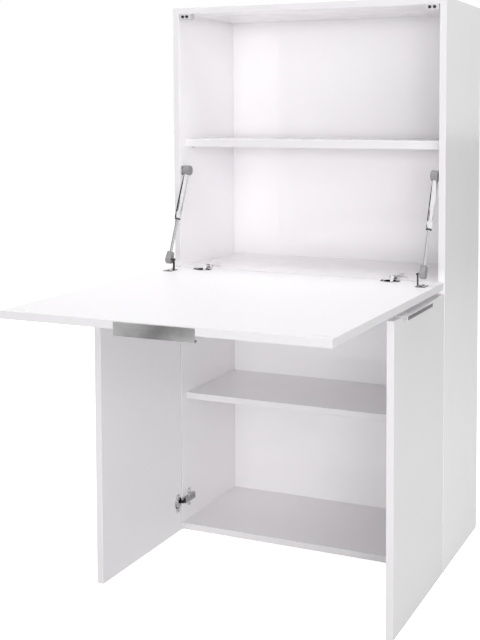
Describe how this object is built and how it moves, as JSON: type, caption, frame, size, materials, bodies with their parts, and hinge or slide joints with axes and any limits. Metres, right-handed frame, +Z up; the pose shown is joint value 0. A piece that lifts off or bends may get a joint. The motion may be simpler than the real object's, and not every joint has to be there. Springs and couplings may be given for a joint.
{
  "type": "fold down wall desk",
  "caption": "Tall white wall cabinet whose front flap folds down on gas struts to make a desk, with open shelves behind it and hinged doors below.",
  "frame": {"origin": "on the floor under the middle of the whole outline, with the flap down and the doors open", "axes": "+X to the right seen from the front, +Y towards the wall, +Z up"},
  "size_m": [0.8288, 1.1158, 1.505],
  "materials": {
    "carcass_board": "white satin-gloss faced board, edge banded",
    "back_board": "thin white faced board",
    "gloss_front": "white high-gloss lacquered board",
    "handle_steel": "fine brushed along its length",
    "white_strike": "white coated steel",
    "catch_plastic": "moulded light grey",
    "magnet": "dark ferrite face",
    "glide_plastic": "moulded",
    "pin_steel": "nickel plated",
    "screw_steel": "zinc plated, cross slot",
    "hinge_cup_steel": "nickel-plated pressed steel",
    "hinge_arm_steel": "nickel plated",
    "hinge_link_steel": "dark plated steel",
    "strut_chrome": "bright tube",
    "strut_rod_chrome": "polished rod",
    "socket_plastic": "moulded mid grey",
    "bracket_dark": "dark passivated steel"
  },
  "bodies": {
    "cabinet": {"back_panel": "back_board", "bottom_panel": "carcass_board", "cabinet_screws": "screw_steel", "catch_left_case": "catch_plastic", "catch_magnets": "magnet", "catch_right_case": "catch_plastic", "desk_board": "carcass_board", "door_left_hinge_high_arm": "hinge_arm_steel", "door_left_hinge_high_plate": "hinge_arm_steel", "door_left_hinge_low_arm": "hinge_arm_steel", "door_left_hinge_low_plate": "hinge_arm_steel", "door_right_hinge_high_arm": "hinge_arm_steel", "door_right_hinge_high_plate": "hinge_arm_steel", "door_right_hinge_low_arm": "hinge_arm_steel", "door_right_hinge_low_plate": "hinge_arm_steel", "flap_hinge_left_arm": "hinge_arm_steel", "flap_hinge_left_plate": "hinge_arm_steel", "flap_hinge_right_arm": "hinge_arm_steel", "flap_hinge_right_plate": "hinge_arm_steel", "glides": "glide_plastic", "lower_shelf": "carcass_board", "shelf_pins": "pin_steel", "side_left": "carcass_board", "side_right": "carcass_board", "strut_top_bracket_left": "bracket_dark", "strut_top_bracket_right": "bracket_dark", "top_panel": "carcass_board", "upper_shelf": "carcass_board"},
    "flap": {"flap_handle": "handle_steel", "flap_hinge_left_cup": "hinge_cup_steel", "flap_hinge_right_cup": "hinge_cup_steel", "flap_panel": "gloss_front", "flap_screws": "screw_steel", "strike_left": "white_strike", "strike_right": "white_strike", "strut_foot_bracket_left": "bracket_dark", "strut_foot_bracket_right": "bracket_dark"},
    "door_left": {"door_left_handle": "handle_steel", "door_left_hinge_high_cup": "hinge_cup_steel", "door_left_hinge_low_cup": "hinge_cup_steel", "door_left_panel": "gloss_front", "door_left_screws": "screw_steel"},
    "door_right": {"door_right_handle": "handle_steel", "door_right_hinge_high_cup": "hinge_cup_steel", "door_right_hinge_low_cup": "hinge_cup_steel", "door_right_panel": "gloss_front", "door_right_screws": "screw_steel"},
    "flap_links": {"flap_hinge_links": "hinge_link_steel"},
    "door_left_links": {"door_left_hinge_links": "hinge_link_steel"},
    "door_right_links": {"door_right_hinge_links": "hinge_link_steel"},
    "strut_tube_left": {"strut_top_socket_left": "socket_plastic", "strut_tube_left": "strut_chrome"},
    "strut_tube_right": {"strut_top_socket_right": "socket_plastic", "strut_tube_right": "strut_chrome"},
    "strut_rod_left": {"strut_foot_socket_left": "socket_plastic", "strut_rod_left": "strut_rod_chrome"},
    "strut_rod_right": {"strut_foot_socket_right": "socket_plastic", "strut_rod_right": "strut_rod_chrome"}
  },
  "joints": [
    {"name": "flap_fold", "type": "hinge", "parent": "cabinet", "child": "flap", "pos_m": [0, 0.1929, 0.755], "axis": [-1, 0, 0], "range_deg": [0, 90]},
    {"name": "door_left_swing", "type": "hinge", "parent": "cabinet", "child": "door_left", "pos_m": [-0.3915, 0.2004, 0.3735], "axis": [0, 0, 1], "range_deg": [-4, 90]},
    {"name": "door_right_swing", "type": "hinge", "parent": "cabinet", "child": "door_right", "pos_m": [0.3915, 0.2004, 0.3735], "axis": [0, 0, -1], "range_deg": [-4, 90]},
    {"name": "flap_hinge_link_turn", "type": "hinge", "parent": "cabinet", "child": "flap_links", "pos_m": [0, 0.2169, 0.779], "axis": [1, 0, 0], "range_deg": [0, 40.77]},
    {"name": "door_left_link_turn", "type": "hinge", "parent": "cabinet", "child": "door_left_links", "pos_m": [-0.375, 0.2169, 0.3735], "axis": [0, 0, -1], "range_deg": [-1.1, 22.63]},
    {"name": "door_right_link_turn", "type": "hinge", "parent": "cabinet", "child": "door_right_links", "pos_m": [0.375, 0.2169, 0.3735], "axis": [0, 0, 1], "range_deg": [-1.1, 22.63]},
    {"name": "strut_left_turn", "type": "hinge", "parent": "flap", "child": "strut_rod_left", "pos_m": [-0.368, 0.1279, 0.803], "axis": [1, 0, 0], "range_deg": [0, 115.52]},
    {"name": "strut_left_slide", "type": "slide", "parent": "strut_rod_left", "child": "strut_tube_left", "axis": [0, -0.3903, -0.9207], "range_m": [0, 0.0379]},
    {"name": "strut_right_turn", "type": "hinge", "parent": "flap", "child": "strut_rod_right", "pos_m": [0.368, 0.1279, 0.803], "axis": [1, 0, 0], "range_deg": [0, 115.52]},
    {"name": "strut_right_slide", "type": "slide", "parent": "strut_rod_right", "child": "strut_tube_right", "axis": [0, -0.3903, -0.9207], "range_m": [0, 0.0379]}
  ],
  "couplings": [
    {"joint": "flap_hinge_link_turn", "follows": "flap_fold", "ratio": 0.45281},
    {"joint": "door_left_link_turn", "follows": "door_left_swing", "ratio": 0.25133},
    {"joint": "door_right_link_turn", "follows": "door_right_swing", "ratio": 0.25133},
    {"joint": "strut_left_turn", "follows": "flap_fold", "ratio": 1.2834},
    {"joint": "strut_left_slide", "follows": "flap_fold", "m_per_rad": 0.024005},
    {"joint": "strut_right_turn", "follows": "flap_fold", "ratio": 1.2834},
    {"joint": "strut_right_slide", "follows": "flap_fold", "m_per_rad": 0.024005}
  ]
}
